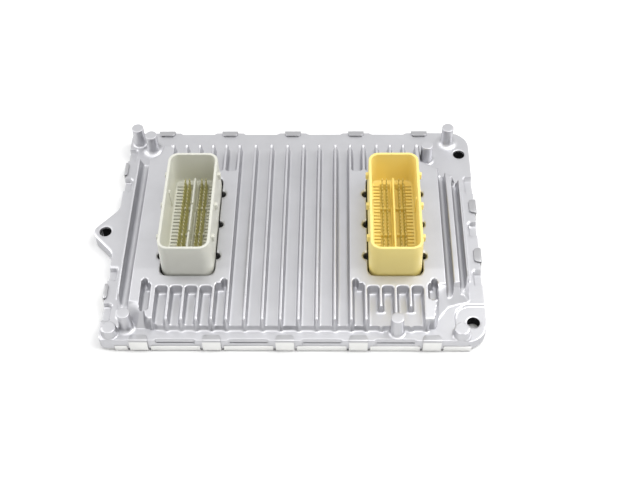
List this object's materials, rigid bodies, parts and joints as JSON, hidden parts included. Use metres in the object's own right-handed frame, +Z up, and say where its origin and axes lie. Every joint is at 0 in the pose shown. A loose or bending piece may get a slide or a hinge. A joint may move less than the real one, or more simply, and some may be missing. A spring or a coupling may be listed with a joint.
{
  "type": "engine control unit",
  "caption": "Flat finned cast engine control unit with tall rectangular connector sockets on top, a crimped sheet base plate and a side mounting ear.",
  "frame": {"origin": "centre of the base plate's flat underside, midway between the long and the short sides of the cover", "axes": "+X along the length from the ear side towards the yellow header, +Y towards the rear edge, +Z up out of the sockets"},
  "size_m": [0.2066, 0.1466, 0.0377],
  "materials": {
    "casting": "as die cast, fine satin",
    "sheet": "rolled sheet, stamped",
    "grey_plastic": "moulded, fine satin",
    "yellow_plastic": "moulded, fine satin",
    "sealant": "cured bead",
    "board": "solder mask",
    "package": "moulded",
    "ferrite": "pressed ferrite",
    "can": "drawn can",
    "screw": "zinc plated",
    "pad": "soft gap filler"
  },
  "bodies": {
    "root": {"base_plate": "sheet", "board_screw_1": "screw", "board_screw_2": "screw", "board_screw_3": "screw", "board_screw_4": "screw", "board_screw_5": "screw", "board_screw_6": "screw", "boost_inductor": "ferrite", "bulk_capacitor_1": "can", "bulk_capacitor_2": "can", "bulk_capacitor_3": "can", "bus_transceiver_1": "package", "bus_transceiver_2": "package", "cast_cover": "casting", "circuit_board": "board", "clock_crystal": "package", "flash_memory": "package", "header_grey": "grey_plastic", "header_seal_grey": "sealant", "header_seal_yellow": "sealant", "header_yellow": "yellow_plastic", "ignition_driver_1": "package", "ignition_driver_2": "package", "injector_driver_1": "package", "injector_driver_2": "package", "knock_interface": "package", "microcontroller": "package", "perimeter_seal": "sealant", "power_supply_ic": "package", "power_transistor_1": "package", "power_transistor_2": "package", "power_transistor_3": "package", "power_transistor_4": "package", "power_transistor_5": "package", "power_transistor_6": "package", "sensor_interface": "package", "solenoid_driver_1": "package", "solenoid_driver_2": "package", "supply_inductor": "ferrite", "thermal_pad_front": "pad", "thermal_pad_processor": "pad", "thermal_pad_rear_left": "pad", "thermal_pad_rear_right": "pad", "throttle_driver": "package"}
  },
  "joints": []
}
